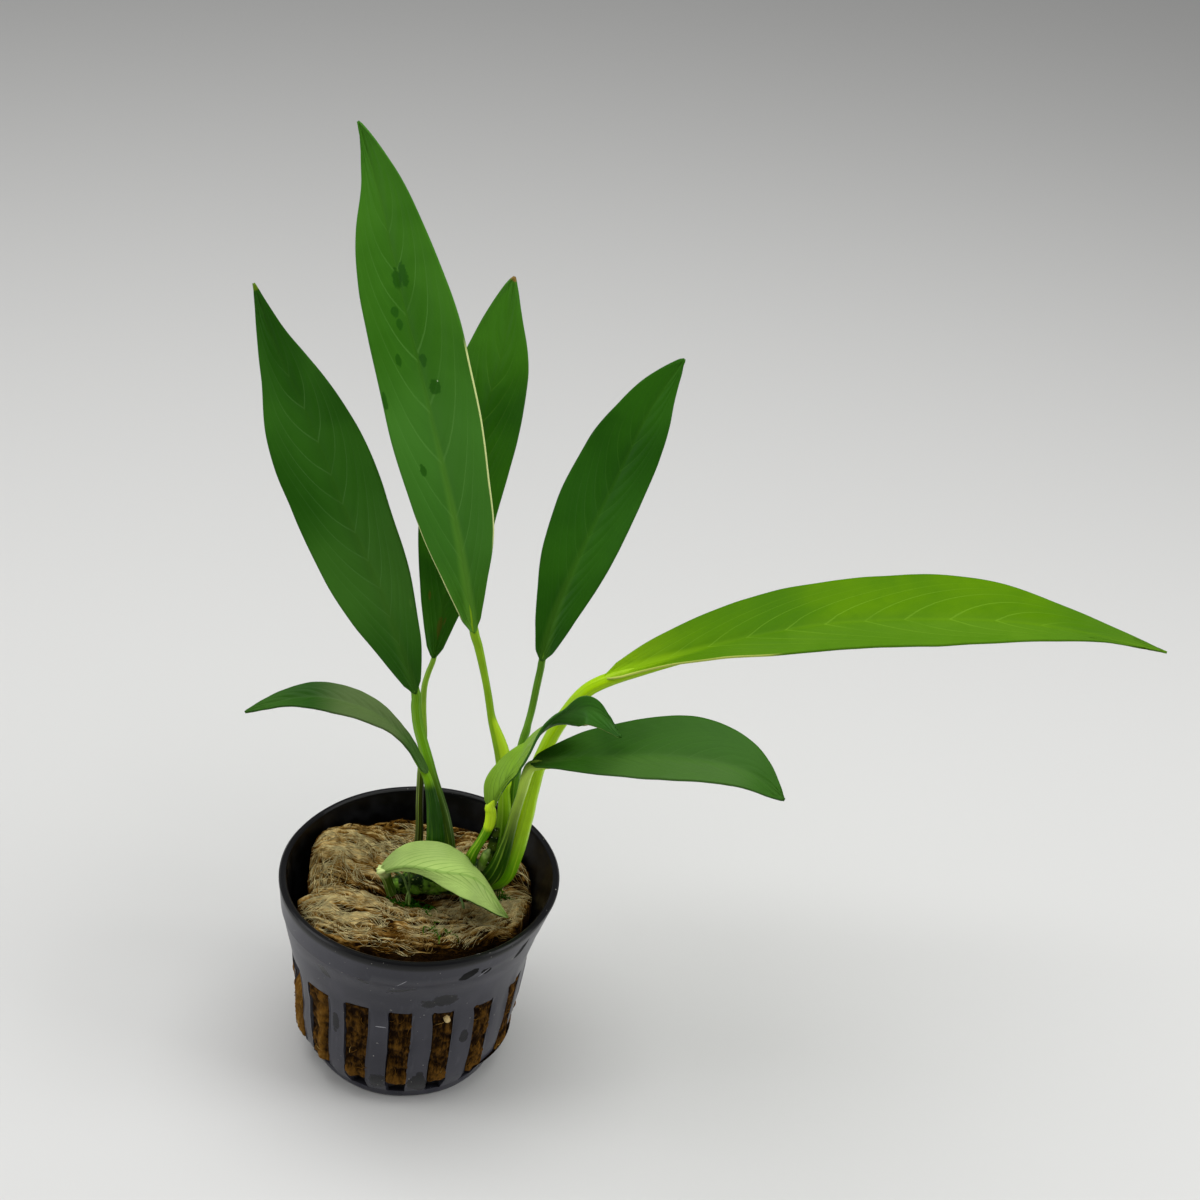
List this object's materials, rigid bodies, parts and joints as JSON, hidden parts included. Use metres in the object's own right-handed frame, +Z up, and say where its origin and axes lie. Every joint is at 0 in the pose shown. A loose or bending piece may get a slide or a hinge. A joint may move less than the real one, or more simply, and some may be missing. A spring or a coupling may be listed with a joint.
{
  "type": "potted aquarium plant",
  "caption": "Broad-leaved aquarium plant on a creeping rhizome, rooted in brown mineral wool in a small tapered black net pot with slotted sides.",
  "frame": {"origin": "centre of the pot's foot, on the surface it stands on", "axes": "+Z up along the pot's axis; the long arching leaf points towards +X and the front of the pot looks along -Y"},
  "size_m": [0.174, 0.0853, 0.1742],
  "materials": {
    "pot_plastic": "satin moulded polypropylene, lightly scuffed",
    "mineral_wool": "matte matted fibres",
    "rhizome_skin": "satin, speckled",
    "leaf_green": "satin waxy leaf",
    "leaf_light": "satin waxy leaf",
    "leaf_underside": "matte pale leaf underside",
    "petiole_green": "satin",
    "root_green": "matte",
    "bud_green": "satin"
  },
  "bodies": {
    "root": {"net_pot": "pot_plastic", "wool_plug": "mineral_wool", "rhizome": "rhizome_skin", "blade_tall": "leaf_green", "blade_left": "leaf_green", "blade_back": "leaf_green", "blade_right": "leaf_green", "blade_long": "leaf_light", "blade_low": "leaf_green", "blade_young": "leaf_green", "blade_arching": "leaf_green", "blade_front": "leaf_underside", "petiole_tall": "petiole_green", "petiole_left": "petiole_green", "petiole_back": "petiole_green", "petiole_right": "petiole_green", "petiole_long": "petiole_green", "petiole_low": "petiole_green", "petiole_young": "petiole_green", "petiole_arching": "petiole_green", "petiole_front": "petiole_green", "root_1": "root_green", "root_2": "root_green", "root_3": "root_green", "bud": "bud_green"}
  },
  "joints": []
}
